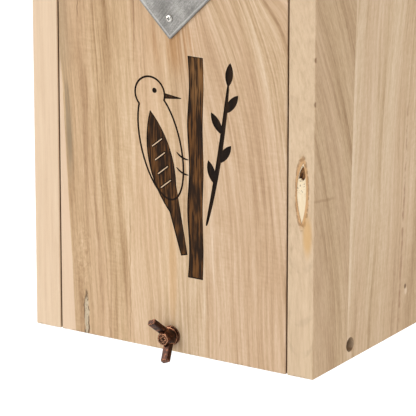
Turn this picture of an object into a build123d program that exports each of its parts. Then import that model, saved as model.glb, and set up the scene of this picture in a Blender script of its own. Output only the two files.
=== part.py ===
"""A woodpecker nest box of 3/4 inch boards, whose front swings up once its wing screw is backed out.

A plain bird on a trunk is burned into the front as shallow pockets of two depths.

The frame: +X is to the right as seen from the front, -Y is towards the front and +Z is up.
The origin is on the rear face, midway between the two mounting holes. Lengths are in millimetres.
Names that end in _h are heights above the bottom of the box, and at_h() turns them into Z.
"""

from build123d import *
import os
from math import atan, ceil, copysign, cos, pi, sin, tan

INCH = 25.4

# Boards and the box
BOARD = 0.75 * INCH
BOX_WIDTH = 8.25 * INCH
CAVITY = BOX_WIDTH - 2 * BOARD
FRONT_H = 15 * INCH
REAR_H = 17 * INCH
BACK_H = 19.5 * INCH
EASED_EDGE = 0.5

# Floor
FLOOR_RECESS = 0.8
FLOOR_GAP = 0.1
DRAIN_RADIUS = 0.1875 * INCH
DRAIN_INSET = 1.0 * INCH

# Roof
ROOF_SIDE_OVERHANG = 1.0 * INCH
ROOF_FRONT_OVERHANG = 2.5 * INCH

# Front panel
PANEL_SIDE_GAP = 1.0
PANEL_TOP_GAP = 0.375 * INCH
PIVOT_BELOW_TOP = 1.0 * INCH
ENTRANCE_RADIUS = 1.25 * INCH
KERF_COUNT = 12
KERF_PITCH = 0.625 * INCH
KERF_WIDTH = 3.2
KERF_DEPTH = 3.0
KERF_LENGTH = 4.0 * INCH

# Metal guard round the entrance: a square plate that stands on its corner
GUARD_SIDE = 4.0 * INCH
GUARD_THICKNESS = 1.2
GUARD_CORNER_H = 205.2
GUARD_CORNER_RADIUS = 1.0
GUARD_SCREW_INSET = 13.6

# Ventilation holes, high in each side
VENT_RADIUS = 0.3125 * INCH
VENT_BELOW_TOP = 22.0
VENT_INSETS = (60.0, 130.0)

# Mounting holes through the back
MOUNT_HOLE_RADIUS = 0.28125 * INCH / 2
LOWER_MOUNT_H = 2.375 * INCH
MOUNT_SPACING = 16.25 * INCH

# Counterbored wood screws
COUNTERBORE_RADIUS = 0.1875 * INCH
HEAD_SEAT = 9.5
BACK_HEAD_SEAT = 7.0
SCREW_LENGTH = 1.25 * INCH
SCREW_DIAMETER = 4.2
SCREW_HEAD_DIAMETER = 8.0
SCREW_HEAD_HEIGHT = 2.6
THREAD_PITCH = 1.6
CORE_SHARE = 0.68
SHANK_SHARE = 0.36
POINT_DIAMETERS = 2.2
POINT_RADIUS = 0.15
HEAD_CURVE = ((0.62, 1.0), (0.9, 0.72), (1.0, 0.35))
SUNK_HEAD_RIM = 0.3
SLOT_WIDTH_SHARE = 0.15
SLOT_LENGTH_SHARE = 0.55
SLOT_DEPTH_SHARE = 0.55
BORE_OVERRUN = 1.0
FLOOR_SCREW_INSET = 26.85
BACK_SCREWS_H = (2 * INCH, 8.5 * INCH, 15 * INCH)
REAR_FLOOR_SCREW_X = 2.0 * INCH
ROOF_SCREW_INSETS = (45.0, 140.0)
ROOF_SINK_CLEARANCE = 0.2
ROOF_SINK_TIP = 0.01

# Pivot screws of the front panel
PIVOT_CLEARANCE = 0.06
PIVOT_HEAD_GAP = 0.3
PIVOT_SCREW_LENGTH = 1.25 * INCH

# Guard screws
GUARD_SCREW_DIAMETER = 2.2
GUARD_SCREW_HEAD = 4.4
GUARD_SCREW_HEAD_HEIGHT = 1.4
GUARD_SCREW_LENGTH = 12.0
GUARD_SCREW_CLEARANCE = 0.15

# Wing screw: a washer, a stud with a 1/4-20 thread, and the wing nut that is locked on it
LATCH_H = 10.8
WASHER_RADIUS = 6.4
WASHER_THICKNESS = 1.1
WASHER_EDGE_ROUND = 0.3
WASHER_CLEARANCE = 0.3
STUD_RADIUS = 0.125 * INCH
STUD_EDGE_CHAMFER = 0.5
STUD_TIP_LENGTH = 1.2
STUD_TIP_TAPER = 1.0
STUD_SLOT = (1.0, 3.8, 1.6)
STUD_PITCH = INCH / 20
STUD_CORE_SHARE = 0.8
STUD_IN_FLOOR = 12.0
STUD_FIT = 0.05
PANEL_BORE_RADIUS = 0.28125 * INCH / 2
FLOOR_BORE_RADIUS = 0.1875 * INCH
FLOOR_BORE_DEPTH = 17.0
NUT_HEIGHT = 9.4
NUT_FLANGE_RADIUS = 5.7
NUT_FLANGE_HEIGHT = 1.5
NUT_FLANGE_ROUND = 0.3
NUT_NECK_RADIUS = 5.0
NUT_NECK_HEIGHT = 0.4
NUT_BODY_RADIUS = 5.4
NUT_BODY_RISE = 2.0
NUT_SHOULDER_RADIUS = 4.6
NUT_SHOULDER_DROP = 1.6
NUT_TOP_RADIUS = 4.1
NUT_RIM_CHAMFER = 0.3
NUT_RECESS = 0.5
WING_ANGLE = 23.0
WING_REACH = 13.4
WING_RISE = 15.6
WING_ROOT_REACH = 3.4
WING_ROOT_RISE = 5.4
WING_WIDTH = 6.0
WING_THICKNESS = 3.8
WING_ROUND = 1.2
WING_END_ROUND = 0.6

# Bark pocket in the front edge of the right side, whose upper end is hollow
POCKET_DEPTH = 0.3
POCKET_HOLLOW_DEPTH = 1.6

# Burned drawing: a plain bird, made of ovals, that clings to a trunk beside a leafy twig.
# Its places are across from the left edge of the box and up from its bottom.
FILL_DEPTH = 0.35
LINE_DEPTH = 0.6
BORDER_WIDTH = 0.7
OUTLINE_WIDTH = 1.3
PEN_STEP = 2.5
PEN_LEAST_STEPS = 4
PEN_END_SHARE = 0.3
BODY_CENTRE = (97.0, 136.0)
BODY_RADII = (15.0, 36.0)
BODY_LEAN = 14.0
HEAD_RADIUS = 11.0
HEAD_ALONG_BODY = 33.0
BEAK_LENGTH = 23.0
BEAK_HALF_WIDTH = 2.8
EYE_ASIDE = (3.5, 2.5)
EYE_RADIUS = 1.7
WING_CENTRE = (-2.5, -12.0)
WING_HALF_SIZE = (34.0, 9.0)
WING_BAR = (9.0, 1.3)
WING_BAR_PITCH = 9.0
WING_BAR_TILT = 25.0
WING_BAR_COUNT = 4
TAIL_HALF_WIDTHS = (5.0, 2.2)
TAIL_ALONG_BODY = (-24.0, -72.0)
TRUNK_MIDDLE = 123.0
TRUNK_HALF_WIDTH = 5.2
TRUNK_ENDS_H = (52.0, 196.0)
TRUNK_WAVE = 0.7
TRUNK_WAVE_LENGTH = 55.0
TRUNK_STEPS = 16
TOES_H = (119.0, 129.0)
TWIG = ((131.0, 88.0), (138.0, 120.0), (143.0, 150.0), (147.0, 182.0))
TWIG_WIDTH = 3.4
LEAF_HALF_SIZE = (8.0, 2.8)
LEAVES = ((0.3, 18.0), (0.45, -36.0), (0.65, 32.0), (0.8, -36.0), (0.98, -6.0))

# Worked out from the sizes above
HALF_WIDTH = BOX_WIDTH / 2
HALF_CAVITY = CAVITY / 2
MOUNT_CENTRE_H = LOWER_MOUNT_H + MOUNT_SPACING / 2
BACK_FRONT_Y = -BOARD
FRONT_Y = -(CAVITY + 2 * BOARD)
PANEL_REAR_Y = FRONT_Y + BOARD
ROOF_SLOPE = atan((REAR_H - FRONT_H) / (BACK_FRONT_Y - FRONT_Y))
FLOOR_MIDDLE_H = FLOOR_RECESS + BOARD / 2
PANEL_TOP_H = FRONT_H - PANEL_TOP_GAP
PIVOT_H = PANEL_TOP_H - PIVOT_BELOW_TOP
PIVOT_Y = FRONT_Y + BOARD / 2
GUARD_HALF_DIAGONAL = GUARD_SIDE / 2**0.5
ENTRANCE_H = GUARD_CORNER_H + GUARD_HALF_DIAGONAL

LEFT, RIGHT, TO_FRONT, TO_REAR, DOWN = (-1, 0, 0), (1, 0, 0), (0, -1, 0), (0, 1, 0), (0, 0, -1)
FROM_BOTTOM = (Align.CENTER, Align.CENTER, Align.MIN)


def at_h(height):
    """Z of a height above the bottom of the box."""
    return height - MOUNT_CENTRE_H


def roof_z(y):
    """Z of the roof's underside at a distance y from the rear face."""
    return at_h(FRONT_H) + (y - FRONT_Y) * tan(ROOF_SLOPE)


def rod(start, direction, radius, length):
    """A cylinder that starts at a point and runs along a direction."""
    return Plane(origin=start, z_dir=direction) * Cylinder(radius, length, align=FROM_BOTTOM)


def block(low, high):
    """A box between two corners, with its edges eased as a planed board's are."""
    size = [high[i] - low[i] for i in range(3)]
    centre = [(high[i] + low[i]) / 2 for i in range(3)]
    plain = Pos(*centre) * Box(*size)
    return chamfer(plain.edges(), EASED_EDGE)


def thread(core, crest, start, stop, pitch):
    """Profile points, radius and distance, of rings that stand for a screw's thread."""
    points = []
    quarter = pitch / 4
    for turn in range(int((stop - start) / pitch)):
        at = start + turn * pitch
        points += [(core, at + quarter), (crest, at + 2 * quarter), (core, at + 3 * quarter)]
    return points


def cross_recess(width, length, depth):
    """The two slots of a cross recess, which start at Z = 0 and run along +Z."""
    slot = Box(width, length, depth, align=FROM_BOTTOM)
    return slot + Rot(0, 0, 90) * slot


def wood_screw(length, diameter, head_diameter, head_height, countersunk=False):
    """A wood screw along +Z, point last. Z = 0 is the head's seat, or a countersunk head's face."""
    crest = diameter / 2
    core = crest * CORE_SHARE
    pitch = THREAD_PITCH * diameter / SCREW_DIAMETER
    head = head_diameter / 2
    point_start = length - POINT_DIAMETERS * diameter
    if countersunk:
        top = 0
        profile = [(0, 0), (head, 0), (head, SUNK_HEAD_RIM), (crest, SUNK_HEAD_RIM + head - crest)]
    else:
        top = -head_height
        curve = [(radius * head, height * top) for radius, height in HEAD_CURVE]
        profile = [(0, top), *curve, (head, 0), (crest, 0)]
    shank = SHANK_SHARE * length
    profile += [(crest, shank), *thread(core, crest, shank, point_start, pitch)]
    profile += [(core, point_start), (POINT_RADIUS, length), (0, length)]
    body = revolve(make_face(Plane.XZ * Polyline(profile, close=True)), Axis.Z)
    slot_width, slot_length = SLOT_WIDTH_SHARE * head_diameter, SLOT_LENGTH_SHARE * head_diameter
    return body - Pos(0, 0, top) * cross_recess(slot_width, slot_length, SLOT_DEPTH_SHARE * head_height)


def drive(screw, seat, direction):
    """Places a screw with its seat at a point, running along a direction."""
    return Plane(origin=seat, z_dir=direction) * screw


def box_screw(length=SCREW_LENGTH, countersunk=False):
    return wood_screw(length, SCREW_DIAMETER, SCREW_HEAD_DIAMETER, SCREW_HEAD_HEIGHT, countersunk)


def screw_bore(mouth, direction, seat_depth):
    """The counterbore and shank hole of a box screw, from a board's face through the board."""
    seat = [mouth[i] + direction[i] * seat_depth for i in range(3)]
    return rod(mouth, direction, COUNTERBORE_RADIUS, seat_depth) + rod(
        seat, direction, SCREW_DIAMETER / 2, BOARD - seat_depth + BORE_OVERRUN
    )


def pilot(seat, direction, length, diameter):
    """The pilot hole that the thread bites into, as wide as the screw's core."""
    return rod(seat, direction, diameter / 2 * CORE_SHARE, length)


# Where the screws go: the seat of each head, and the way it is driven
def floor_screw_seats(side):
    x = side * (HALF_WIDTH - HEAD_SEAT)
    ends = (PANEL_REAR_Y + FLOOR_SCREW_INSET, BACK_FRONT_Y - FLOOR_SCREW_INSET)
    return [(x, y, at_h(FLOOR_MIDDLE_H)) for y in ends]


def rear_floor_screw_seats():
    return [(x, -BACK_HEAD_SEAT, at_h(FLOOR_MIDDLE_H)) for x in (-REAR_FLOOR_SCREW_X, REAR_FLOOR_SCREW_X)]


def back_screw_seats(side):
    return [(side * (HALF_WIDTH - BOARD / 2), -BACK_HEAD_SEAT, at_h(h)) for h in BACK_SCREWS_H]


def roof_screw_seats(side):
    """Points on the roof's top face over a side board."""
    seats = []
    for inset in ROOF_SCREW_INSETS:
        y = FRONT_Y + inset
        seats.append((side * (HALF_WIDTH - BOARD / 2), y, roof_z(y) + BOARD / cos(ROOF_SLOPE)))
    return seats


def roof_normal():
    return (0, -sin(ROOF_SLOPE), cos(ROOF_SLOPE))


def into_roof():
    return tuple(-part for part in roof_normal())


def pivot_seat(side):
    return (side * (HALF_WIDTH - HEAD_SEAT + PIVOT_HEAD_GAP), PIVOT_Y, at_h(PIVOT_H))


def guard_screw_spots():
    reach = GUARD_HALF_DIAGONAL - GUARD_SCREW_INSET
    return [(reach * dx, reach * dz) for dx, dz in ((0, 1), (1, 0), (0, -1), (-1, 0))]


def guard_screw_seat(spot):
    return (spot[0], FRONT_Y - GUARD_THICKNESS, at_h(ENTRANCE_H) + spot[1])


def inward(side):
    return LEFT if side > 0 else RIGHT


# Boards
def front_plane():
    """The plane of the front face, laid out from the lower left corner of the box."""
    return Plane(origin=(-HALF_WIDTH, FRONT_Y, at_h(0)), x_dir=RIGHT, z_dir=TO_FRONT)


def bark_pocket():
    """A long knot scar in an edge that faces the front, shallow at its foot and hollow above."""
    scar = region(
        smooth((200.4, 100.5), (203.0, 112), (203.4, 126), (201.4, 140.5)),
        smooth((201.4, 140.5), (197.6, 130), (197.2, 114), (200.4, 100.5)),
    )
    hollow = region(
        smooth((198.4, 129.4), (198.9, 133.6), (201.2, 137.8)),
        smooth((201.2, 137.8), (202.7, 134), (202.4, 129.6)),
        jagged((202.4, 129.6), (201, 128.4), (199.8, 129.8), (198.4, 129.4)),
    )
    pocket = extrude(scar, amount=-POCKET_DEPTH) + extrude(hollow, amount=-POCKET_HOLLOW_DEPTH)
    return front_plane() * pocket


def side_board(side):
    """One side: a board whose top follows the roof, with screw holes and two vents."""
    inner, outer = side * HALF_CAVITY, side * HALF_WIDTH
    outline = [
        (FRONT_Y, at_h(0)),
        (BACK_FRONT_Y, at_h(0)),
        (BACK_FRONT_Y, at_h(REAR_H)),
        (FRONT_Y, at_h(FRONT_H)),
    ]
    face = make_face(Polyline([(min(inner, outer), y, z) for y, z in outline], close=True))
    board = extrude(face, amount=BOARD, dir=RIGHT)
    board = chamfer(board.edges(), EASED_EDGE)
    for seat in floor_screw_seats(side):
        board -= screw_bore((outer, seat[1], seat[2]), inward(side), HEAD_SEAT)
    pivot = (outer, PIVOT_Y, at_h(PIVOT_H))
    board -= rod(pivot, inward(side), COUNTERBORE_RADIUS, HEAD_SEAT)
    board -= rod(pivot, inward(side), SCREW_DIAMETER / 2 + PIVOT_CLEARANCE, BOARD)
    for seat in back_screw_seats(side):
        board -= pilot(seat, TO_FRONT, SCREW_LENGTH, SCREW_DIAMETER)
    for seat in roof_screw_seats(side):
        board -= pilot(seat, into_roof(), SCREW_LENGTH, SCREW_DIAMETER)
    for inset in VENT_INSETS:
        y = FRONT_Y + inset
        board -= rod((outer, y, roof_z(y) - VENT_BELOW_TOP), inward(side), VENT_RADIUS, BOARD)
    return board


def back_panel():
    """The back, taller than the box, with the two mounting holes."""
    board = block((-HALF_WIDTH, BACK_FRONT_Y, at_h(0)), (HALF_WIDTH, 0, at_h(BACK_H)))
    for side in (-1, 1):
        for seat in back_screw_seats(side):
            board -= screw_bore((seat[0], 0, seat[2]), TO_FRONT, BACK_HEAD_SEAT)
    for seat in rear_floor_screw_seats():
        board -= screw_bore((seat[0], 0, seat[2]), TO_FRONT, BACK_HEAD_SEAT)
    for z in (-MOUNT_SPACING / 2, MOUNT_SPACING / 2):
        board -= rod((0, 0, z), TO_FRONT, MOUNT_HOLE_RADIUS, BOARD)
    return board


def floor_board():
    """The floor, with a drain hole near each corner and the wing screw's bore in its front edge."""
    low = (-HALF_CAVITY + FLOOR_GAP, PANEL_REAR_Y + FLOOR_GAP, at_h(FLOOR_RECESS))
    high = (HALF_CAVITY - FLOOR_GAP, BACK_FRONT_Y, at_h(FLOOR_RECESS + BOARD))
    board = block(low, high)
    for x in (-HALF_CAVITY + DRAIN_INSET, HALF_CAVITY - DRAIN_INSET):
        for y in (PANEL_REAR_Y + 2 * DRAIN_INSET, BACK_FRONT_Y - 2 * DRAIN_INSET):
            board -= rod((x, y, high[2]), DOWN, DRAIN_RADIUS, BOARD)
    for side in (-1, 1):
        for seat in floor_screw_seats(side):
            board -= pilot(seat, inward(side), SCREW_LENGTH, SCREW_DIAMETER)
    for seat in rear_floor_screw_seats():
        board -= pilot(seat, TO_FRONT, SCREW_LENGTH, SCREW_DIAMETER)
    board -= rod((0, PANEL_REAR_Y, at_h(LATCH_H)), TO_REAR, FLOOR_BORE_RADIUS, FLOOR_BORE_DEPTH)
    return board


def roof_board():
    """The roof, which butts against the back and overhangs the front and sides."""
    front_y = FRONT_Y - ROOF_FRONT_OVERHANG
    along = (sin(ROOF_SLOPE), cos(ROOF_SLOPE))
    outline = [
        (front_y, roof_z(front_y)),
        (BACK_FRONT_Y, roof_z(BACK_FRONT_Y)),
        (BACK_FRONT_Y, roof_z(BACK_FRONT_Y) + BOARD / cos(ROOF_SLOPE)),
        (front_y - BOARD * along[0], roof_z(front_y) + BOARD * along[1]),
    ]
    left_x = -HALF_WIDTH - ROOF_SIDE_OVERHANG
    face = make_face(Polyline([(left_x, y, z) for y, z in outline], close=True))
    board = extrude(face, amount=-2 * left_x, dir=RIGHT)
    board = chamfer(board.edges(), EASED_EDGE)
    sink = SCREW_HEAD_DIAMETER / 2 + ROOF_SINK_CLEARANCE
    mouth = Cylinder(sink, SUNK_HEAD_RIM, align=FROM_BOTTOM)
    mouth += Pos(0, 0, SUNK_HEAD_RIM) * Cone(sink, ROOF_SINK_TIP, sink, align=FROM_BOTTOM)
    for side in (-1, 1):
        for seat in roof_screw_seats(side):
            board -= drive(mouth, seat, into_roof())
            board -= rod(seat, into_roof(), SCREW_DIAMETER / 2, BOARD + BORE_OVERRUN)
    return board


# Flat outlines
def smooth(*points):
    return Spline(*points)


def jagged(*points):
    return Polyline(*points)


def region(*runs):
    """The face inside a closed outline, given as runs that follow one another."""
    edges = []
    for run in runs:
        edges += run.edges()
    return make_face(edges)


def leaf(half_length, half_width):
    """An upright pointed oval, made of two arcs."""
    right = ThreePointArc((0, -half_length), (half_width, 0), (0, half_length))
    left = ThreePointArc((0, half_length), (-half_width, 0), (0, -half_length))
    return region(right, left)


def ribbon(path, width, end_share=1.0):
    """A band of a given width along a curve, whose ends are end_share as wide."""
    steps = max(PEN_LEAST_STEPS, ceil(path.length / PEN_STEP))
    sides = ([], [])
    for step in range(steps + 1):
        share = step / steps
        half = width / 2 * (end_share + (1 - end_share) * sin(pi * share) ** 0.5)
        spot, along = path @ share, path % share
        across = Vector(-along.Y, along.X) * half
        sides[0].append(spot + across)
        sides[1].append(spot - across)
    left, right = Spline(*sides[0]), Spline(*sides[1])
    return make_face([left, Line(left @ 1, right @ 1), right, Line(right @ 0, left @ 0)])


def dash(start, end, width):
    """A round-ended straight stroke."""
    run = end - start
    middle = (start + end) / 2
    turn = copysign(run.get_angle(Vector(1, 0, 0)), run.Y)
    return Pos(middle.X, middle.Y) * Rot(0, 0, turn) * SlotCenterToCenter(run.length, width)


def pen(width, *points):
    """A smooth stroke that thins towards its ends."""
    return ribbon(Spline(*points), width, PEN_END_SHARE)


def outline(face, width):
    """A stroke of even width round a face."""
    strokes = []
    for edge in face.edges():
        if edge.geom_type == GeomType.LINE:
            strokes.append(dash(edge @ 0, edge @ 1, width))
        else:
            corner = edge @ 0
            strokes += [ribbon(edge, width), Pos(corner.X, corner.Y) * Circle(width / 2)]
    return strokes


# Burned drawing
def bird_frame():
    """The middle of the bird's body, with local Y along its back towards the head."""
    return Pos(*BODY_CENTRE) * Rot(0, 0, BODY_LEAN)


def head_centre():
    lean = BODY_LEAN * pi / 180
    return BODY_CENTRE[0] - HEAD_ALONG_BODY * sin(lean), BODY_CENTRE[1] + HEAD_ALONG_BODY * cos(lean)


def bird_silhouette():
    """An oval body and a round head."""
    return bird_frame() * Ellipse(*BODY_RADII) + Pos(*head_centre()) * Circle(HEAD_RADIUS)


def beak():
    x, y = head_centre()
    corners = ((x, y - BEAK_HALF_WIDTH), (x + BEAK_LENGTH, y), (x, y + BEAK_HALF_WIDTH))
    return make_face(Polyline(*corners, close=True)) - Pos(x, y) * Circle(HEAD_RADIUS)


def wing_and_tail():
    """A leaf-shaped wing with pale bars across it, and a tail that props the bird on the trunk."""
    wide, narrow = TAIL_HALF_WIDTHS
    high, low = TAIL_ALONG_BODY
    tail = make_face(Polyline((-wide, high), (wide, high), (narrow, low), (-narrow, low), close=True))
    shape = Pos(*WING_CENTRE) * leaf(*WING_HALF_SIZE) + tail
    first_bar = -(WING_BAR_COUNT - 1) / 2 * WING_BAR_PITCH
    for bar in range(WING_BAR_COUNT):
        spot = Pos(WING_CENTRE[0], WING_CENTRE[1] + first_bar + bar * WING_BAR_PITCH)
        shape -= spot * Rot(0, 0, WING_BAR_TILT) * SlotCenterToCenter(*WING_BAR)
    return bird_frame() * shape


def trunk():
    """An upright trunk with gently waving sides."""
    low, high = TRUNK_ENDS_H
    sides = ([], [])
    for step in range(TRUNK_STEPS + 1):
        h = low + (high - low) * step / TRUNK_STEPS
        wave = TRUNK_WAVE * sin(2 * pi * h / TRUNK_WAVE_LENGTH)
        sides[0].append((TRUNK_MIDDLE - TRUNK_HALF_WIDTH + wave, h))
        sides[1].append((TRUNK_MIDDLE + TRUNK_HALF_WIDTH + wave / 2, h))
    left, right = Spline(*sides[0]), Spline(*sides[1])
    return make_face([left, Line(left @ 1, right @ 1), right, Line(right @ 0, left @ 0)])


def twig():
    """A twig beside the trunk, with leaves that grow from it at shares of its length."""
    strokes = [pen(TWIG_WIDTH, *TWIG)]
    grown = Pos(0, LEAF_HALF_SIZE[0]) * leaf(*LEAF_HALF_SIZE)
    for share, turn in LEAVES:
        base = Spline(*TWIG) @ share
        strokes.append(Pos(base.X, base.Y) * Rot(0, 0, turn) * grown)
    return strokes


def toes():
    side = TRUNK_MIDDLE - TRUNK_HALF_WIDTH
    return [pen(OUTLINE_WIDTH, (side - 9, h + 4), (side - 5, h + 1), (side, h)) for h in TOES_H]


def eye():
    x, y = head_centre()
    return Pos(x + EYE_ASIDE[0], y + EYE_ASIDE[1]) * Circle(EYE_RADIUS)


def drawing():
    """The burned drawing, shape by shape, each with its depth: the fills and then the deeper lines."""
    fills = [wing_and_tail(), beak(), trunk()]
    outlines = [outline(face, BORDER_WIDTH) for face in fills]
    outlines.append(outline(bird_silhouette(), OUTLINE_WIDTH))
    lines = [strokes[0].fuse(*strokes[1:]) for strokes in outlines]
    lines += [*twig(), *toes(), eye()]
    return [(face, FILL_DEPTH) for face in fills] + [(face, LINE_DEPTH) for face in lines]


def front_panel():
    """The front, which swings on two screws near its top, with a ladder of saw kerfs inside."""
    half = HALF_CAVITY - PANEL_SIDE_GAP
    board = block((-half, FRONT_Y, at_h(0)), (half, PANEL_REAR_Y, at_h(PANEL_TOP_H)))
    board -= rod((0, FRONT_Y, at_h(ENTRANCE_H)), TO_REAR, ENTRANCE_RADIUS, BOARD)
    for step in range(KERF_COUNT):
        h = ENTRANCE_H - ENTRANCE_RADIUS - (step + 1) * KERF_PITCH
        kerf = Box(KERF_LENGTH, KERF_DEPTH, KERF_WIDTH)
        board -= Pos(0, PANEL_REAR_Y - KERF_DEPTH / 2, at_h(h)) * kerf
    board -= rod((0, FRONT_Y, at_h(LATCH_H)), TO_REAR, PANEL_BORE_RADIUS, BOARD)
    for spot in guard_screw_spots():
        board -= pilot(guard_screw_seat(spot), TO_REAR, GUARD_SCREW_LENGTH, GUARD_SCREW_DIAMETER)
    for side in (-1, 1):
        board -= pilot(pivot_seat(side), inward(side), PIVOT_SCREW_LENGTH, SCREW_DIAMETER)
    for face, depth in drawing():
        board -= front_plane() * extrude(face, amount=-depth)
    return board


# Metal
def predator_guard():
    """The square steel plate round the entrance, turned to stand on its corner."""
    plate = RectangleRounded(GUARD_SIDE, GUARD_SIDE, GUARD_CORNER_RADIUS)
    plate = Rot(0, 0, 45) * plate - Circle(ENTRANCE_RADIUS)
    for spot in guard_screw_spots():
        plate -= Pos(*spot) * Circle(GUARD_SCREW_DIAMETER / 2 + GUARD_SCREW_CLEARANCE)
    on_front = Plane(origin=(0, FRONT_Y, at_h(ENTRANCE_H)), x_dir=RIGHT, z_dir=TO_FRONT)
    return on_front * extrude(plate, amount=GUARD_THICKNESS)


def guard_screws():
    screw = wood_screw(GUARD_SCREW_LENGTH, GUARD_SCREW_DIAMETER, GUARD_SCREW_HEAD, GUARD_SCREW_HEAD_HEIGHT)
    return [drive(screw, guard_screw_seat(spot), TO_REAR) for spot in guard_screw_spots()]


def latch_axis():
    """A plane on the wing screw's axis, at the front face, whose Z points to the front."""
    return Plane(origin=(0, FRONT_Y, at_h(LATCH_H)), x_dir=RIGHT, z_dir=TO_FRONT)


def latch_washer():
    ring = Cylinder(WASHER_RADIUS, WASHER_THICKNESS, align=FROM_BOTTOM)
    ring = fillet(ring.edges().filter_by(GeomType.CIRCLE), WASHER_EDGE_ROUND)
    ring -= Cylinder(STUD_RADIUS + WASHER_CLEARANCE, WASHER_THICKNESS, align=FROM_BOTTOM)
    return latch_axis() * ring


def stud():
    """The wing screw's threaded stud, from its cross recess in front to its tip in the floor."""
    front = WASHER_THICKNESS + NUT_HEIGHT - NUT_RECESS
    tip = -(BOARD + STUD_IN_FLOOR)
    core = STUD_RADIUS * STUD_CORE_SHARE
    shoulder = (STUD_RADIUS, front - STUD_EDGE_CHAMFER)
    profile = [(0, front), (STUD_RADIUS - STUD_EDGE_CHAMFER, front), shoulder, (STUD_RADIUS, 0)]
    rings = thread(core, STUD_RADIUS, 0, -tip - STUD_TIP_LENGTH, STUD_PITCH)
    profile += [(radius, -depth) for radius, depth in rings]
    profile += [(core, tip + STUD_TIP_LENGTH), (core - STUD_TIP_TAPER, tip), (0, tip)]
    body = revolve(make_face(Plane.XZ * Polyline(profile, close=True)), Axis.Z)
    recess = Pos(0, 0, front) * Rot(180, 0, 0) * cross_recess(*STUD_SLOT)
    return latch_axis() * (body - recess)


def wing():
    """One wing of the nut, a rounded bar that leans outwards, in the plane of local X and Z."""
    root = Vector(WING_ROOT_REACH, 0, WING_ROOT_RISE)
    tip = Vector(WING_REACH, 0, WING_RISE)
    along = tip - root
    section = Plane(origin=root, x_dir=(0, 1, 0), z_dir=along)
    bar = extrude(section * RectangleRounded(WING_WIDTH, WING_THICKNESS, WING_ROUND), amount=along.length)
    end_edges = bar.faces().sort_by(Axis(origin=root, direction=along))[-1].edges()
    return fillet(end_edges, WING_END_ROUND)


def wing_nut():
    """The wing nut: a flanged, domed hub with two wings."""
    base = WASHER_THICKNESS
    flange_top = base + NUT_FLANGE_HEIGHT
    neck_top = flange_top + NUT_NECK_HEIGHT
    top = base + NUT_HEIGHT
    inner_flange, inner_top = NUT_FLANGE_RADIUS - NUT_FLANGE_ROUND, NUT_TOP_RADIUS - NUT_RIM_CHAMFER
    foot = Polyline(
        (0, base),
        (inner_flange, base),
        (NUT_FLANGE_RADIUS, base + NUT_FLANGE_ROUND),
        (NUT_FLANGE_RADIUS, flange_top - NUT_FLANGE_ROUND),
        (inner_flange, flange_top),
        (NUT_NECK_RADIUS, flange_top),
        (NUT_NECK_RADIUS, neck_top),
    )
    dome = Spline(
        (NUT_NECK_RADIUS, neck_top),
        (NUT_BODY_RADIUS, flange_top + NUT_BODY_RISE),
        (NUT_SHOULDER_RADIUS, top - NUT_SHOULDER_DROP),
        (NUT_TOP_RADIUS, top - NUT_RIM_CHAMFER),
    )
    rim = Polyline((NUT_TOP_RADIUS, top - NUT_RIM_CHAMFER), (inner_top, top), (0, top), (0, base))
    profile = make_face(foot.edges() + dome.edges() + rim.edges())
    hub = revolve(Plane.XZ * profile, Axis.Z)
    for turn in (0, 180):
        hub += Rot(0, 0, 90 + WING_ANGLE + turn) * wing()
    hub -= Cylinder(STUD_RADIUS + STUD_FIT, 4 * NUT_HEIGHT)
    return latch_axis() * hub


def write(name, *solids):
    """Writes one node as STEP, from one solid or a group of them."""
    shape = solids[0] if len(solids) == 1 else Compound(children=list(solids))
    export_step(shape, f"parts/{name}.step")


def main():
    os.makedirs("parts", exist_ok=True)
    write("left_side", side_board(-1))
    write("right_side", side_board(1) - bark_pocket())
    write("back_panel", back_panel())
    write("floor_board", floor_board())
    write("roof_board", roof_board())
    write("front_panel", front_panel())
    write("predator_guard", predator_guard())
    write("guard_screws", *guard_screws())
    write("latch_washer", latch_washer())
    write("latch_stud", stud())
    write("wing_nut", wing_nut())
    pivot_screw = box_screw(PIVOT_SCREW_LENGTH)
    roof_screw = box_screw(SCREW_LENGTH, countersunk=True)
    for name, side in (("left", -1), ("right", 1)):
        write(f"{name}_floor_screws", *[drive(box_screw(), s, inward(side)) for s in floor_screw_seats(side)])
        write(f"{name}_back_screws", *[drive(box_screw(), s, TO_FRONT) for s in back_screw_seats(side)])
        write(f"{name}_roof_screws", *[drive(roof_screw, s, into_roof()) for s in roof_screw_seats(side)])
        write(f"{name}_pivot_screw", drive(pivot_screw, pivot_seat(side), inward(side)))
    write("rear_floor_screws", *[drive(box_screw(), s, TO_FRONT) for s in rear_floor_screw_seats()])


main()
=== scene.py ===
"""Looks for the woodpecker nest box: woods, metals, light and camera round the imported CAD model.

Objects, lights and the camera are in metres in the model's frame: +X right, -Y to the front, +Z up.
Materials count in millimetres from the box's lower left front corner instead: right, back and up.
"""

from math import radians

import bpy
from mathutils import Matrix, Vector


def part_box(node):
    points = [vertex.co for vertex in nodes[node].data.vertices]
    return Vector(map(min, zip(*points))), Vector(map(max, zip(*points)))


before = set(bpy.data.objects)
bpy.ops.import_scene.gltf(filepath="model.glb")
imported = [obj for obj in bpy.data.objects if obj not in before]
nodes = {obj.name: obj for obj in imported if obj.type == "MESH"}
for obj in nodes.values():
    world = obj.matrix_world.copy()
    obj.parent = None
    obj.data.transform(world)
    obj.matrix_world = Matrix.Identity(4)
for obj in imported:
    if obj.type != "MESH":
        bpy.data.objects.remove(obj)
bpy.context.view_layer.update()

MM = 0.001
CORNER = Vector(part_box("left_side")[0])
FRONT, BOTTOM = CORNER.y, CORNER.z
WIDTH = (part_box("right_side")[1].x - CORNER.x) / MM
CENTRE = WIDTH / 2
ENTRANCE_UP = ((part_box("predator_guard")[0].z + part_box("predator_guard")[1].z) / 2 - BOTTOM) / MM
GUARD_REACH = (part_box("predator_guard")[1].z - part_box("predator_guard")[0].z) / 2 / MM

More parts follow.
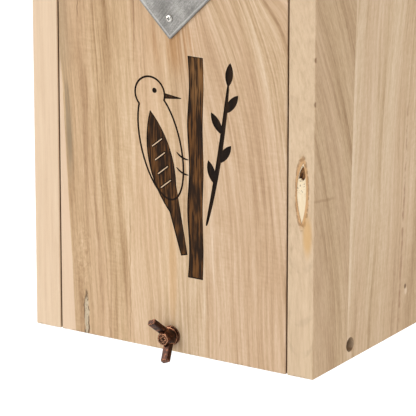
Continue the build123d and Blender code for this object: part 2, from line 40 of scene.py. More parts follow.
# Camera: where it looks, on the front face, and from where
AIM_RIGHT = 27.4 * MM
AIM_UP = 99.9 * MM
CAMERA_DISTANCE = 2.2817
CAMERA_TURN = radians(32.24)
CAMERA_PITCH = radians(16.92)
CAMERA_LENS = 315.1

# Pockets cut into the boards: the drawing's fill and lines, and the scar with its hollow
FILL_DEPTH = 0.35 * MM
LINE_DEPTH = 0.6 * MM
SCAR_DEPTH = 0.3 * MM
HOLLOW_DEPTH = 1.6 * MM
DEPTH_MARGIN = 0.05 * MM
EASED_EDGE = 0.6 * MM

# Light: the even sky, and what metal sees in its place. A soft box has a direction, a rim and a brightness,
# and the rim is the cosine of the angle from its middle to where its light ends.
SKY_STRENGTH = 0.88
ROOM_GLOW = 0.35
SOFT_BOXES = (((-0.8, -0.5, 0.35), 0.78, 3.6), ((-0.1, -0.35, 0.93), 0.86, 2.6))
SOFT_BOX_FADE = 0.05

FLOOR_DROP = 0.45
FLOOR_SIZE = 16.0


def rgb(red, green, blue):
    """The linear colour for a screen colour of 0 to 255 a channel."""
    screen = (part / 255 for part in (red, green, blue))
    return tuple(part / 12.92 if part <= 0.04045 else ((part + 0.055) / 1.055) ** 2.4 for part in screen)


class Value:
    """A number that varies over a surface, so that shader formulas read as plain arithmetic."""

    def __init__(self, shader, socket):
        self.shader = shader
        self.socket = socket

    def __add__(self, other):
        return self.shader.math("ADD", self, other)

    def __sub__(self, other):
        return self.shader.math("SUBTRACT", self, other)

    def __rsub__(self, other):
        return self.shader.math("SUBTRACT", other, self)

    def __mul__(self, other):
        return self.shader.math("MULTIPLY", self, other)

    def __truediv__(self, other):
        return self.shader.math("DIVIDE", self, other)

    def __pow__(self, other):
        return self.shader.math("POWER", self, other)

    def __abs__(self):
        return self.shader.math("ABSOLUTE", self)

    __radd__ = __add__


class Shader:
    """A material, built up node by node. A value is a number, a colour or another node's output."""

    def __init__(self, name):
        self.material = bpy.data.materials.new(name)
        self.material.use_nodes = True
        self.tree = self.material.node_tree
        self.surface = self.tree.nodes["Principled BSDF"]
        self.texture_place = self.node("ShaderNodeTexCoord").outputs
        shift = self.node("ShaderNodeVectorMath", operation="SUBTRACT")
        self.feed(shift.inputs[0], self.texture_place["Object"])
        shift.inputs[1].default_value = CORNER
        grow = self.node("ShaderNodeVectorMath", operation="SCALE")
        self.feed(grow.inputs[0], shift.outputs[0])
        grow.inputs["Scale"].default_value = 1 / MM
        self.place = grow.outputs[0]
        self.right, self.back, self.up = self.parts(self.place)

    def node(self, kind, **settings):
        made = self.tree.nodes.new(kind)
        for name, value in settings.items():
            setattr(made, name, value)
        return made

    def feed(self, socket, value):
        value = value.socket if isinstance(value, Value) else value
        if isinstance(value, bpy.types.NodeSocket):
            self.tree.links.new(value, socket)
        elif hasattr(socket.default_value, "__len__") and len(socket.default_value) == 4:
            socket.default_value = (*value, 1.0)[:4]
        else:
            socket.default_value = value

    def math(self, operation, *values):
        made = self.node("ShaderNodeMath", operation=operation)
        for socket, value in zip(made.inputs, values):
            self.feed(socket, value)
        return Value(self, made.outputs[0])

    def vector(self, x, y, z):
        made = self.node("ShaderNodeCombineXYZ")
        for socket, value in zip(made.inputs, (x, y, z)):
            self.feed(socket, value)
        return made.outputs[0]

    def parts(self, vector):
        made = self.node("ShaderNodeSeparateXYZ")
        self.feed(made.inputs[0], vector)
        return [Value(self, output) for output in made.outputs]

    def noise(self, vector, size, detail=2.0, roughness=0.5, distortion=0.0):
        """Cloudy values about 0.5, with lumps of the given size."""
        made = self.node("ShaderNodeTexNoise")
        settings = {"Scale": 1 / size, "Detail": detail, "Roughness": roughness, "Distortion": distortion}
        self.feed(made.inputs["Vector"], vector)
        for name, value in settings.items():
            made.inputs[name].default_value = value
        return Value(self, made.outputs["Fac"])

    def between(self, value, low, high, out_low=0.0, out_high=1.0):
        """A smooth step: out_low where value is at low, out_high where it is at high."""
        made = self.node("ShaderNodeMapRange", interpolation_type="SMOOTHSTEP")
        for socket, number in zip(made.inputs, (value, low, high, out_low, out_high)):
            self.feed(socket, number)
        return Value(self, made.outputs["Result"])

    def mix(self, share, first, second, blend="MIX"):
        made = self.node("ShaderNodeMix", data_type="RGBA", blend_type=blend)
        for socket, value in ((made.inputs[0], share), (made.inputs[6], first), (made.inputs[7], second)):
            self.feed(socket, value)
        return made.outputs[2]

    def ramp(self, value, *colors):
        """Runs evenly through the colours as value goes from 0 to 1."""
        made = self.node("ShaderNodeValToRGB")
        stops = made.color_ramp.elements
        while len(stops) < len(colors):
            stops.new(0.5)
        for number, (stop, color) in enumerate(zip(stops, colors)):
            stop.position = number / (len(colors) - 1)
            stop.color = (*color, 1.0)
        self.feed(made.inputs[0], value)
        return made.outputs[0]

    def tint(self, share, color):
        """Covers the colour so far with another one."""
        self.color = self.mix(share, self.color, color)

    def stain(self, share, color):
        """Multiplies the colour so far with another one, so that its pattern stays."""
        self.color = self.mix(share, self.color, color, "MULTIPLY")

    def reach(self, across, along):
        """The length of a flat vector."""
        return self.math("SQRT", across * across + along * along)

    def spot(self, aside, along, width, length, softness=0.4):
        """1 inside an ellipse about the place where aside and along are 0, and 0 outside it."""
        reach = self.reach(aside / width, along / length)
        return self.between(reach, 1 + softness, 1 - softness)

    def spot_at(self, place, width, length, softness=0.4, across=None):
        """A spot at a place, given as how far right, or across, and how far up."""
        across = self.right if across is None else across
        return self.spot(across - place[0], self.up - place[1], width, length, softness)

    def stretch(self, low, high, fade):
        """1 where up is between low and high, fading out beyond them."""
        return self.between(self.up, low - fade, low) * self.between(self.up, high + fade, high)

    def line(self, aside, width):
        """1 on a thin line where aside is 0."""
        return self.between(abs(aside), width, width * 0.3)

    def edges(self, width):
        """1 on the sharp edges of the shape, out to about the given width in millimetres."""
        rounded = self.node("ShaderNodeBevel", samples=6)
        rounded.inputs["Radius"].default_value = width * MM
        flat = self.node("ShaderNodeNewGeometry").outputs["Normal"]
        both = self.node("ShaderNodeVectorMath", operation="DOT_PRODUCT")
        self.feed(both.inputs[0], rounded.outputs[0])
        self.feed(both.inputs[1], flat)
        return self.between(Value(self, both.outputs["Value"]), 0.995, 0.9)

    def hidden(self, distance):
        """1 deep in holes and corners, 0 in the open."""
        made = self.node("ShaderNodeAmbientOcclusion", samples=6)
        made.inputs["Distance"].default_value = distance * MM
        return self.between(Value(self, made.outputs["AO"]), 0.9, 0.2)

    def facing(self, axis, sign):
        """1 on the faces whose normal points along the axis, in the direction of sign, and 0 elsewhere."""
        normal = self.parts(self.texture_place["Normal"])[axis]
        return self.between(normal * sign, 0.6, 0.9)

    def bump(self, height, distance, strength=1.0):
        made = self.node("ShaderNodeBump")
        made.inputs["Strength"].default_value = strength
        made.inputs["Distance"].default_value = distance * MM
        self.feed(made.inputs["Height"], height)
        return made.outputs["Normal"]

    def finish(self, color, roughness, normal=None, **constants):
        self.feed(self.surface.inputs["Base Color"], color)
        self.feed(self.surface.inputs["Roughness"], roughness)
        if normal is not None:
            self.feed(self.surface.inputs["Normal"], normal)
        for name, value in constants.items():
            self.surface.inputs[name.replace("_", " ")].default_value = value
        return self.material


# Wood colours, from the palest shade to the darkest
SHADES = (rgb(240, 218, 188), rgb(224, 196, 162), rgb(204, 172, 134), rgb(178, 144, 106), rgb(138, 102, 68))
PINK = rgb(216, 178, 148)
CREAM = rgb(232, 207, 178)
ORANGE = rgb(214, 168, 116)
GREY = rgb(150, 132, 106)
BROWN = rgb(104, 72, 44)
DARK = rgb(52, 33, 20)
AXES = ("right", "back", "up")
SEED_STEP = 37.0

# The sweep of the grain is given for this height, and it is stronger above it
SWEPT_UP = 235
# Where the marks of the front and of the right side lie: right or back first, then up
HEARTWOOD_RIGHT, HEARTWOOD_LEAN = 31, 0.052
CURLY_PATCH = (37, 50)
DARK_PATCH = (75, 215)
GREY_STAIN_UP = 145
ORANGE_STREAK = (105.8, 52)
ORANGE_CORNER = (108, 203)
STREAKY_SCAR = (39.6, 12)
TRUNK_TOP = (123.5, 184)
MEETING_BACK = 42
VEIN_BACK, VEIN_LEAN = 108, 0.058
PIN_KNOT = (116.4, 29.7)
PIN_KNOT_TAIL = (117.2, 26.5)
PALE_CHIP = (46.4, 3)
SMEAR_UP = 116
SCAR = (200.6, 120.5)
SCAR_AMBER = (204.6, 93)
EDGE_SPECKS_UP = (178, 206)

# Streaks of the front: right at the foot, lean to the left, from and to how far up, width and strength
FRONT_STREAKS = (
    (73.5, 0.0, 5, 85, 0.7, 0.3),
    (77.0, 0.0, 190, 240, 0.6, 0.22),
    (58.0, 0.06, 0, 110, 0.9, 0.16),
    (53.5, 0.07, 20, 130, 1.2, 0.12),
    (92.0, 0.05, 170, 240, 0.8, 0.16),
    (141.0, 0.0, 13, 20, 0.5, 0.5),
    (34.5, 0.0, 215, 221, 0.5, 0.5),
)
# Bowed growth lines of the right side's front edge: how far up, width and strength
EDGE_ARCS = ((15, 3.2, 0.14), (36, 4.0, 0.12), (70, 4.0, 0.1))


class Wood(Shader):
    """Planed wood, solid through the board. One number, shade, is its grain: 0 is pale and 1 dark."""

    def __init__(self, name, along, seed):
        super().__init__(name)
        places = {"right": self.right, "back": self.back, "up": self.up}
        self.along = along
        self.run = places.pop(along)
        self.across, self.depth = places.values()
        self.seed = SEED_STEP * seed
        self.knots = []

    def lean(self, shift):
        """Moves the grain sideways by shift, which may vary along the board."""
        self.across = self.across + shift

    def knot(self, across, run, width, length):
        """Leads the grain round a knot, which grow draws."""
        aside = self.across - across
        reach = self.reach(aside / width, (self.run - run) / length)
        pull = self.math("EXPONENT", reach * reach * -0.35)
        self.across = self.across - aside * pull * 0.8
        self.knots.append(reach)

    def stretched(self, across, long):
        """Where a texture is looked up, so that it is drawn out along the grain by a factor of long."""
        return self.vector(across + self.seed, self.depth + self.seed, self.run / long)

    def grow(self, shade=0.4, gap=6.0, bands=0.5, streaks=0.5, rings=0.2, fibres=0.3, curl=0.25):
        wander = (self.noise(self.stretched(self.across, 5), 40, detail=1) - 0.5) * 20
        ring_place = self.across + self.depth * 0.35 + wander
        long_place = self.stretched(ring_place, 30)
        self.bands = self.noise(long_place, 15, detail=2)
        self.streaks = self.noise(long_place, 2.6, detail=3, roughness=0.62)
        self.fibres = self.noise(self.stretched(ring_place, 22), 0.8, detail=2, roughness=0.7)
        turns = ring_place / gap + self.noise(long_place, 18, detail=1) * 4
        saw = self.math("FRACT", turns)
        late = self.between(saw, 0.2, 0.97) * self.between(saw, 1.0, 0.97)
        uneven = self.noise(self.vector(turns, self.run / 90, self.seed), 1.1, detail=1)
        self.rings = late * self.between(uneven, 0.4, 0.65)
        ripple = self.noise(self.stretched(self.across / 6, 1), 1.7, detail=2, roughness=0.6) - 0.5
        rippled = self.between(self.noise(self.stretched(self.across, 3), 30, detail=1), 0.4, 0.62)
        self.shade = (self.bands - 0.5) * bands + (self.streaks - 0.5) * streaks + shade
        self.shade = self.shade + self.rings * rings + (self.fibres - 0.5) * fibres + ripple * rippled * curl
        flecks = self.noise(self.stretched(self.across, 4), 0.9, detail=2, roughness=0.7)
        self.shade = self.shade + (flecks - 0.5) * 0.35
        for reach in self.knots:
            self.shade = self.shade + self.between(reach, 1.6, 0.5, 0, 0.35)

    def paint(self, pinkness=0.3):
        """Turns the shade into colour, pinker in some places than in others."""
        color = self.ramp(self.shade, *SHADES)
        warm = self.between(self.noise(self.stretched(self.across, 12), 22, detail=1), 0.35, 0.65)
        self.color = self.mix(warm * pinkness, color, PINK)
        for reach in self.knots:
            rings = self.math("SINE", reach * 24) * 0.5 + 0.5
            self.tint(self.between(reach, 1.05, 0.75) * (rings * 0.3 + 0.55), BROWN)
            self.tint(self.between(reach, 0.4, 0.1) * 0.8, DARK)

    def end_grain(self):
        """Darkens and speckles the faces that the grain runs out of."""
        axis = AXES.index(self.along)
        facing = self.facing(axis, 1) + self.facing(axis, -1)
        pores = self.between(self.noise(self.place, 0.7, detail=2), 0.45, 0.65)
        self.tint(facing * (pores * 0.3 + 0.3), BROWN)

    def done(self, roughness=0.6):
        # Painted shade: brown darkening in the gaps, joints and corners between the boards, where shade
        # falls.
        self.tint(self.hidden(8) * 0.8, BROWN)
        relief = self.fibres * 0.6 + self.rings * 0.25
        rough = self.between(self.fibres, 0.25, 0.75, roughness - 0.07, roughness + 0.1)
        return self.finish(self.color, rough, self.bump(relief, 0.12, 0.5), Specular_IOR_Level=0.22)


def rough_foot(wood):
    """The saw's ragged, browner mark along a board's lower edge."""
    ragged = wood.noise(wood.place, 2.5, detail=3)
    wood.tint(wood.between(wood.up, 1.4, 0.0) * wood.between(ragged, 0.5, 0.62) * 0.6, BROWN)


def front_wood():
    wood = Wood("front_wood", "up", seed=1)
    # The grain leans a little to the left going up, and much more so at the upper right
    swept = wood.between(wood.right, 95, 135) * wood.between(wood.right, 205, 165, 0.35, 1)
    wood.lean(wood.up * 0.06 + wood.math("EXPONENT", (wood.up - SWEPT_UP) / 60) * swept * 27)
    wood.grow(shade=0.45, gap=7.5, bands=0.6, streaks=0.85, rings=0.17, fibres=0.42)
    wood.shade = wood.shade + (wood.streaks - 0.5) * wood.between(wood.right, 95, 125) * 0.3
    wood.shade = wood.shade + wood.spot_at(DARK_PATCH, 45, 60, 0.7) * 0.1

    # A sharp change of tone near the left edge: pale to its left, darker heartwood to its right
    line = wood.right - (HEARTWOOD_RIGHT - wood.up * HEARTWOOD_LEAN)
    heart = wood.between(line, -0.3, 0.4) * wood.between(line, 24, 3)
    wood.shade = wood.shade + heart * 0.17
    strip = wood.between(line, 0.3, -0.4) * wood.between(wood.up, 185, 165)
    wood.shade = wood.shade * (1 - strip * 0.6) + strip * 0.1
    eyes = wood.spot_at(CURLY_PATCH, 6, 26, 0.5)
    curls = wood.noise(wood.vector(wood.right, wood.back, wood.up * 0.7), 2.2, detail=2, distortion=0.8)
    wood.shade = wood.shade + eyes * (curls - 0.5) * 0.6
    for across, lean, low, high, width, strength in FRONT_STREAKS:
        unsteady = (wood.noise(wood.place, 9, detail=1) - 0.5) * 2.5
        mark = wood.line(wood.right - across + wood.up * lean + unsteady, width)
        wood.shade = wood.shade + mark * wood.stretch(low, high, 6) * strength

    wood.paint(pinkness=0.25)
    wood.stain(wood.between(wood.right + wood.bands * 20, 105, 125), rgb(248, 248, 250))
    wood.tint(strip * 0.5, rgb(228, 198, 172))
    upper = wood.between(line, 12, 3) * wood.between(wood.up, 165, 185)
    wood.tint(upper * 0.3, GREY)
    stain = wood.spot(line - 3, wood.up - GREY_STAIN_UP, 3, 36, 0.5) * wood.between(wood.streaks, 0.35, 0.6)
    wood.tint(stain * 0.75, GREY)
    orange = wood.spot_at(ORANGE_STREAK, 3, 36, 0.35)
    corner = wood.spot_at(ORANGE_CORNER, 16, 17, 0.6) * wood.between(wood.streaks, 0.4, 0.6)
    wood.tint(orange * 0.35, ORANGE)
    wood.stain(corner * 0.6, rgb(242, 215, 178))
    streaky_scar(wood, *STREAKY_SCAR)
    wood.end_grain()
    rough_foot(wood)
    return wood.done()


def streaky_scar(wood, right, up):
    """A narrow overgrown scar: grey wood between ragged dark lines."""
    swirl = wood.noise(wood.vector(wood.right, wood.back, wood.up * 0.4), 2.2, detail=3)
    aside = wood.right - right + (wood.noise(wood.place, 9, detail=1) - 0.5) * 3.5 + (swirl - 0.5) * 2.4
    reach = wood.reach(aside / 1.9, (wood.up - up) / 15)
    wood.tint(wood.between(reach, 1.05, 0.8) * 0.6, rgb(206, 194, 170))
    rim = wood.between(abs(reach - 1.0), 0.3, 0.06) * wood.between(swirl, 0.4, 0.52)
    inner = wood.line(swirl - 0.5, 0.02) * wood.between(reach, 1.0, 0.6)
    wood.tint(rim * 0.8 + inner * 0.4, rgb(88, 64, 40))


def right_side_wood():
    wood = Wood("right_side_wood", "up", seed=4)
    wood.across, wood.depth = wood.back, wood.right
    # Two boards' worth of grain meets along a line: near wood is brown and swept, far wood pale and straight
    meeting = MEETING_BACK + (wood.math("MAXIMUM", wood.up, 0) / SWEPT_UP) ** 1.3 * 8
    line = wood.back - meeting
    near = wood.between(line, 0.3, -0.3)
    near_lean = wood.up * 0.1 + wood.up * wood.up * 0.00075
    far_lean = wood.up * -0.06 - wood.math("EXPONENT", (wood.up - SWEPT_UP) / 50) * 8
    wood.lean(near_lean * near + far_lean * (1 - near))
    wood.grow(shade=0.38, gap=8, bands=0.35, streaks=0.45, rings=0.15, fibres=0.4, curl=0.12)
    wood.shade = wood.shade + near * 0.2 - wood.between(line, 5, 0.5) * (1 - near) * 0.14
    wood.shade = wood.shade + wood.between(wood.up, 110, 10) * (1 - near) * 0.14
    unsteady = (wood.noise(wood.place, 14, detail=2) - 0.5) * 4
    vein = wood.back - wood.up * VEIN_LEAN - VEIN_BACK + unsteady
    beyond = wood.between(vein, -3, 6)
    wood.shade = wood.shade + beyond * 0.1
    wood.paint(pinkness=0.15)
    wood.stain(1.0, rgb(248, 251, 255))
    broken = wood.between(wood.noise(wood.place, 7), 0.35, 0.6)
    drawn = wood.line(vein, 1.5) * wood.stretch(-5, 140, 18) * broken
    wood.tint(drawn * 0.6, rgb(150, 106, 74))
    pin = wood.spot_at(PIN_KNOT, 1.3, 1.6, across=wood.back)
    wood.tint(wood.spot_at(PIN_KNOT_TAIL, 1.6, 2.6, across=wood.back) * 0.6, CREAM)
    wood.tint(pin * 0.85, rgb(104, 74, 46))
    smear = wood.line(wood.up - SMEAR_UP + wood.back * 0.14 + (wood.streaks - 0.5) * 2, 1.3)
    wood.tint(smear * wood.between(wood.back, 26, 20) * 0.3, rgb(140, 106, 66))
    wood.tint(wood.spot_at(PALE_CHIP, 1.6, 3.4, 0.2, across=wood.back) * 0.4, CREAM)
    edge_face(wood, cream=0.6)
    wood.stain(wood.facing(1, -1), rgb(249, 248, 244))
    edge_arcs(wood)
    scar_surround(wood)
    for up in EDGE_SPECKS_UP:
        speck = wood.spot(wood.right - WIDTH, wood.up - up, 0.9, 1.6) * wood.between(wood.back, 1.6, 0.4)
        wood.tint(speck * 0.7, rgb(120, 84, 54))
    wood.end_grain()
    rough_foot(wood)
    return wood.done()


def edge_arcs(wood):
    """Soft bowed growth lines across the lower part of the front edge."""
    aside = wood.right - 200
    curve = wood.up - aside * aside * 0.09 + (wood.noise(wood.place, 8, detail=1) - 0.5) * 4
    broken = wood.between(wood.noise(wood.place, 7, detail=2), 0.35, 0.62) * wood.facing(1, -1)
    for low, width, share in EDGE_ARCS:
        wood.tint(wood.line(curve - low, width) * broken * share, BROWN)


def scar_surround(wood):
    """The broken brown outline and the amber stain round the scar in the front edge."""
    front = wood.between(wood.back, 3, 0.5)
    wobble = (wood.noise(wood.place, 5, detail=2) - 0.5) * 0.35
    reach = wood.reach((wood.right - SCAR[0]) / 4.6, (wood.up - SCAR[1]) / 22) + wobble
    wood.stain(wood.between(reach, 1.15, 0.9) * front * 0.8, rgb(245, 215, 175))
    broken = wood.between(wood.noise(wood.place, 3, detail=2), 0.4, 0.55)
    wood.tint(wood.line(reach - 1.0, 0.16) * broken * front * 0.55, rgb(132, 92, 56))
    amber = wood.spot_at(SCAR_AMBER, 3, 12, 0.5)
    wood.tint(amber * front * 0.6, rgb(214, 166, 98))


def left_side_wood():
    wood = Wood("left_side_wood", "up", seed=6)
    wood.across, wood.depth = wood.back, wood.right
    wood.lean(wood.up * 0.04)
    wood.knot(128, 120, 7, 15)
    wood.grow(shade=0.36, gap=7, bands=0.4, streaks=0.5, rings=0.2)
    wood.paint(pinkness=0.35)
    edge_face(wood, cream=0.7)
    wood.end_grain()
    rough_foot(wood)
    return wood.done()


def edge_face(wood, cream):
    """The pale sapwood that a side board shows on its narrow front edge."""
    wood.tint(wood.facing(1, -1) * cream * (1 - (wood.streaks - 0.5) * 1.2), CREAM)


def plain_wood(name, along, seed, pinkness, knots=()):
    wood = Wood(name, along, seed)
    wood.lean(wood.run * 0.03)
    for knot in knots:
        wood.knot(*knot)
    wood.grow(shade=0.4, gap=8, bands=0.45, streaks=0.5, rings=0.2)
    wood.paint(pinkness)
    wood.end_grain()
    return wood.done()


def filler():
    """The cream wood that has grown over the scar, with tiny dark specks near its top."""
    wood = Shader("scar_filler")
    lumps = wood.noise(wood.vector(wood.right, wood.back, wood.up * 0.5), 2, detail=3)
    wood.color = wood.mix(lumps, rgb(246, 231, 202), rgb(232, 206, 166))
    specks = wood.between(wood.noise(wood.place, 0.9, detail=1), 0.6, 0.68) * wood.between(wood.up, 116, 124)
    wood.tint(specks * 0.8, BROWN)
    return wood.finish(wood.color, 0.6, wood.bump(lumps, 0.5, 0.8), Specular_IOR_Level=0.22)


def scar_wall(name, light, dark):
    wood = Shader(name)
    grain = wood.noise(wood.vector(wood.right, wood.back, wood.up * 0.5), 1.4, detail=3)
    color = wood.mix(wood.between(grain, 0.42, 0.62), light, dark)
    return wood.finish(color, 0.7, wood.bump(grain, 0.3), Specular_IOR_Level=0.15)


def burned(name, dark, brown, brown_share):
    """Charred wood, with brown streaks where the burning went less deep."""
    char = Shader(name)
    streaks = char.noise(char.vector(char.right, char.back, char.up * 0.07), 1.5, detail=3, roughness=0.6)
    blotches = char.noise(char.vector(char.right, char.back, char.up * 0.3), 6, detail=2)
    share = char.between(streaks, 0.42, 0.6) * char.between(blotches, 0.34, 0.56)
    char.color = char.mix(share * brown_share, dark, brown)
    # The top of the trunk was burned more lightly
    light = char.spot_at(TRUNK_TOP, 5, 20, 0.5)
    char.tint(light * char.between(streaks, 0.36, 0.6) * brown_share * 0.6, rgb(150, 108, 66))
    return char.finish(char.color, 0.8, char.bump(streaks, 0.15, 0.6), Specular_IOR_Level=0.12)


def galvanised():
    """Dull zinc: soft clouds and fine slanting scratches, with a painted highlight as a lighter line just
    inside the cut edges and painted shade darkening the edges themselves.
    """
    zinc = Shader("galvanised_steel")
    cloud = zinc.noise(zinc.place, 15, detail=5, roughness=0.6)
    grit = zinc.noise(zinc.place, 0.9, detail=2, roughness=0.7)
    diagonal = zinc.vector(zinc.right - zinc.up * 0.8, zinc.back, (zinc.right + zinc.up) * 0.05)
    scratches = zinc.noise(diagonal, 1.0, detail=3, roughness=0.65)
    left = zinc.between(zinc.right, CENTRE + 5, CENTRE - 20)
    share = cloud * 0.5 + scratches * 0.25 + grit * 0.25 + left * 0.05
    share = zinc.between(share, 0.34, 0.68)
    zinc.color = zinc.ramp(share, rgb(108, 105, 100), rgb(140, 137, 132), rgb(178, 175, 169))
    inset = GUARD_REACH - abs(zinc.right - CENTRE) - abs(zinc.up - ENTRANCE_UP)
    # Painted highlight: a lighter line just inside the cut edges, where they catch the light.
    zinc.tint(zinc.line(inset - 1.6, 0.9) * 0.38, rgb(214, 212, 208))
    # Painted shade: darker right at the cut edges.
    zinc.tint(zinc.between(inset, 0.8, 0.0) * 0.4, rgb(92, 88, 82))
    rough = zinc.between(share, 0.0, 1.0, 0.4, 0.58)
    return zinc.finish(zinc.color, rough, zinc.bump(share, 0.05, 0.4), Metallic=0.35)


def bright_screw():
    steel = Shader("bright_screw")
    wear = steel.noise(steel.place, 1.1, detail=3)
    color = steel.mix(wear, rgb(206, 202, 194), rgb(242, 240, 234))
    # Painted shade: near black deep in the screw's slot and where its head meets the plate.
    color = steel.mix(steel.hidden(1.5) * 0.95, color, rgb(30, 26, 22))
    rough = steel.between(wear, 0.3, 0.7, 0.22, 0.4)
    return steel.finish(color, rough, steel.bump(wear, 0.03, 0.3), Metallic=0.85)


def coated_screw():
    coat = Shader("coated_screw")
    wear = coat.noise(coat.place, 1.4, detail=3)
    color = coat.mix(coat.between(wear, 0.45, 0.75), rgb(34, 27, 22), rgb(64, 52, 42))
    color = coat.mix(coat.edges(0.4) * 0.35, color, rgb(104, 90, 74))
    rough = coat.between(wear, 0.3, 0.7, 0.4, 0.6)
    return coat.finish(color, rough, coat.bump(wear, 0.03, 0.3), Metallic=0.6)


def antique_copper():
    """Dark bronze patina, polished back to copper along the edges and on the high spots."""
    copper = Shader("antique_copper")
    wear = copper.noise(copper.place, 3, detail=3, roughness=0.6)
    fine = copper.noise(copper.place, 0.6, detail=2)
    worn = copper.between(wear * 0.7 + fine * 0.3, 0.48, 0.68) * 0.36
    edge = copper.edges(0.9) * copper.between(fine, 0.25, 0.5)
    polish = copper.math("MINIMUM", worn + edge, 1.0)
    copper.color = copper.ramp(polish, rgb(56, 37, 29), rgb(150, 94, 66), rgb(240, 178, 138))
    copper.tint(copper.hidden(2.5) * 0.85, rgb(16, 10, 8))
    rough = copper.between(polish, 0.0, 1.0, 0.34, 0.24)
    return copper.finish(copper.color, rough, copper.bump(fine, 0.03, 0.3), Metallic=0.95)


def dress(node, *materials):
    """Gives a CAD node its materials, the first of them everywhere."""
    slots = nodes[node].data.materials
    slots.clear()
    for material in materials:
        slots.append(material)
    for face in nodes[node].data.polygons:
        face.material_index = 0


def pocket_faces(node, deepest):
    """The faces of the pockets sunk into a node's front: each face, its depth and whether it is a floor."""
    low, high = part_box(node)
    for face in nodes[node].data.polygons:
        depth = face.center.y - low.y
        inside = low.x + EASED_EDGE < face.center.x < high.x - EASED_EDGE
        inside = inside and low.z + EASED_EDGE < face.center.z < high.z - EASED_EDGE
        if inside and DEPTH_MARGIN < depth < deepest + DEPTH_MARGIN:
            yield face, depth, abs(face.normal.y) > 0.9


def burn_front():
    """Puts the charred materials on the drawing: 1 on the floors of its fills, 2 on lines and walls."""
    for face, depth, is_floor in pocket_faces("front_panel", LINE_DEPTH):
        face.material_index = 1 if is_floor and abs(depth - FILL_DEPTH) < DEPTH_MARGIN else 2


def fill_scar():
    """Puts filler on the scar's floor, 1, dark wood in its hollow, 2, and brown wood on its walls, 3."""
    for face, depth, is_floor in pocket_faces("right_side", HOLLOW_DEPTH):
        if is_floor and abs(depth - SCAR_DEPTH) < DEPTH_MARGIN:
            face.material_index = 1
        else:
            face.material_index = 2 if depth > SCAR_DEPTH else 3


def dress_model():
    dress(
        "front_panel",
        front_wood(),
        burned("burned_fill", rgb(40, 26, 16), rgb(110, 72, 38), 0.9),
        burned("burned_line", rgb(26, 17, 11), rgb(58, 38, 22), 0.45),
    )
    burn_front()
    dress(
        "right_side",
        right_side_wood(),
        filler(),
        scar_wall("scar_hollow", rgb(150, 108, 68), rgb(72, 46, 27)),
        scar_wall("scar_wall", rgb(160, 114, 70), rgb(112, 74, 42)),
    )
    fill_scar()
    dress("left_side", left_side_wood())
    dress("back_panel", plain_wood("back_wood", "up", 9, 0.4, knots=((62, 210, 8, 17), (150, 60, 6, 13))))
    dress("floor_board", plain_wood("floor_wood", "right", 13, 0.5))
    dress("roof_board", plain_wood("roof_wood", "right", 17, 0.3, knots=((60, 50, 7, 16),)))
    dress("predator_guard", galvanised())
    dress("guard_screws", bright_screw())
    copper = antique_copper()
    for node in ("latch_washer", "latch_stud", "wing_nut"):
        dress(node, copper)
    coated = coated_screw()
    for node in nodes:
        if node.endswith(("_floor_screws", "_back_screws", "_roof_screws", "_pivot_screw")):
            dress(node, coated)


def pale_floor():
    half = FLOOR_SIZE / 2
    z = BOTTOM - FLOOR_DROP
    mesh = bpy.data.meshes.new("floor")
    corners = [(-half, -half, z), (half, -half, z), (half, half, z), (-half, half, z)]
    mesh.from_pydata(corners, [], [(0, 1, 2, 3)])
    floor = bpy.data.objects.new("floor", mesh)
    bpy.context.scene.collection.objects.link(floor)
    paint = Shader("floor_paint")
    tone = paint.noise(paint.place, 300, detail=2)
    mesh.materials.append(paint.finish(paint.mix(tone, (0.95, 0.95, 0.95), (0.98, 0.98, 0.98)), 0.9))


def area_light(name, place, target, size, watts):
    light = bpy.data.lights.new(name, "AREA")
    light.shape = "DISK"
    light.size = size
    light.energy = watts
    holder = bpy.data.objects.new(name, light)
    holder.location = place
    holder.rotation_euler = (Vector(target) - Vector(place)).to_track_quat("-Z", "Y").to_euler()
    bpy.context.scene.collection.objects.link(holder)


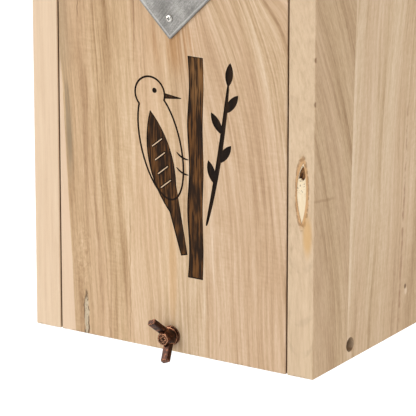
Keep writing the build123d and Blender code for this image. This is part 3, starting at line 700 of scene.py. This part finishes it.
def soft_box(tree, direction, towards, rim, brightness):
    """The light of a round soft box as seen in a direction, fading to 0 at its rim."""
    facing = tree.nodes.new("ShaderNodeVectorMath")
    facing.operation = "DOT_PRODUCT"
    tree.links.new(direction, facing.inputs[0])
    facing.inputs[1].default_value = Vector(towards).normalized()
    box = tree.nodes.new("ShaderNodeMapRange")
    tree.links.new(facing.outputs["Value"], box.inputs["Value"])
    limits = {"From Min": rim, "From Max": rim + SOFT_BOX_FADE, "To Min": 0.0, "To Max": brightness}
    for name, value in limits.items():
        box.inputs[name].default_value = value
    return box.outputs["Result"]


def sky():
    """An even white sky, which metal sees as a dark room with soft boxes to the left and overhead."""
    world = bpy.data.worlds.new("sky")
    world.use_nodes = True
    tree = world.node_tree
    direction = tree.nodes.new("ShaderNodeTexCoord").outputs["Generated"]
    room = tree.nodes.new("ShaderNodeValue").outputs[0]
    room.default_value = ROOM_GLOW
    for box in SOFT_BOXES:
        total = tree.nodes.new("ShaderNodeMath")
        tree.links.new(room, total.inputs[0])
        tree.links.new(soft_box(tree, direction, *box), total.inputs[1])
        room = total.outputs[0]
    seen = tree.nodes.new("ShaderNodeMix")
    is_glossy = tree.nodes.new("ShaderNodeLightPath").outputs["Is Glossy Ray"]
    tree.links.new(is_glossy, seen.inputs["Factor"])
    seen.inputs["A"].default_value = SKY_STRENGTH
    tree.links.new(room, seen.inputs["B"])
    background = tree.nodes["Background"].inputs
    background["Color"].default_value = (1.0, 1.0, 1.0, 1.0)
    tree.links.new(seen.outputs["Result"], background["Strength"])
    return world


def studio():
    bpy.context.scene.world = sky()
    middle = (0.0, FRONT / 2, 0.0)
    area_light("key", (-1.4, -2.8, 1.5), middle, 1.2, 15)
    area_light("glint", (-0.7, -2.2, 1.3), (0.0, FRONT, BOTTOM), 0.16, 1.2)
    area_light("rim", (2.6, -0.6, 1.4), middle, 1.0, 5)
    area_light("backdrop", (-0.9, 1.4, 1.9), (-0.9, 1.3, -0.7), 2.4, 34)


def camera():
    lens = bpy.data.cameras.new("camera")
    lens.lens = CAMERA_LENS
    lens.clip_end = 50
    eye = bpy.data.objects.new("camera", lens)
    eye.rotation_euler = (radians(90) - CAMERA_PITCH, 0.0, CAMERA_TURN)
    aim = Vector((AIM_RIGHT, FRONT, BOTTOM + AIM_UP))
    eye.location = aim + eye.rotation_euler.to_matrix() @ Vector((0, 0, CAMERA_DISTANCE))
    bpy.context.scene.collection.objects.link(eye)
    bpy.context.scene.camera = eye
    bpy.context.scene.view_settings.view_transform = "Standard"


camera()
studio()
pale_floor()
dress_model()
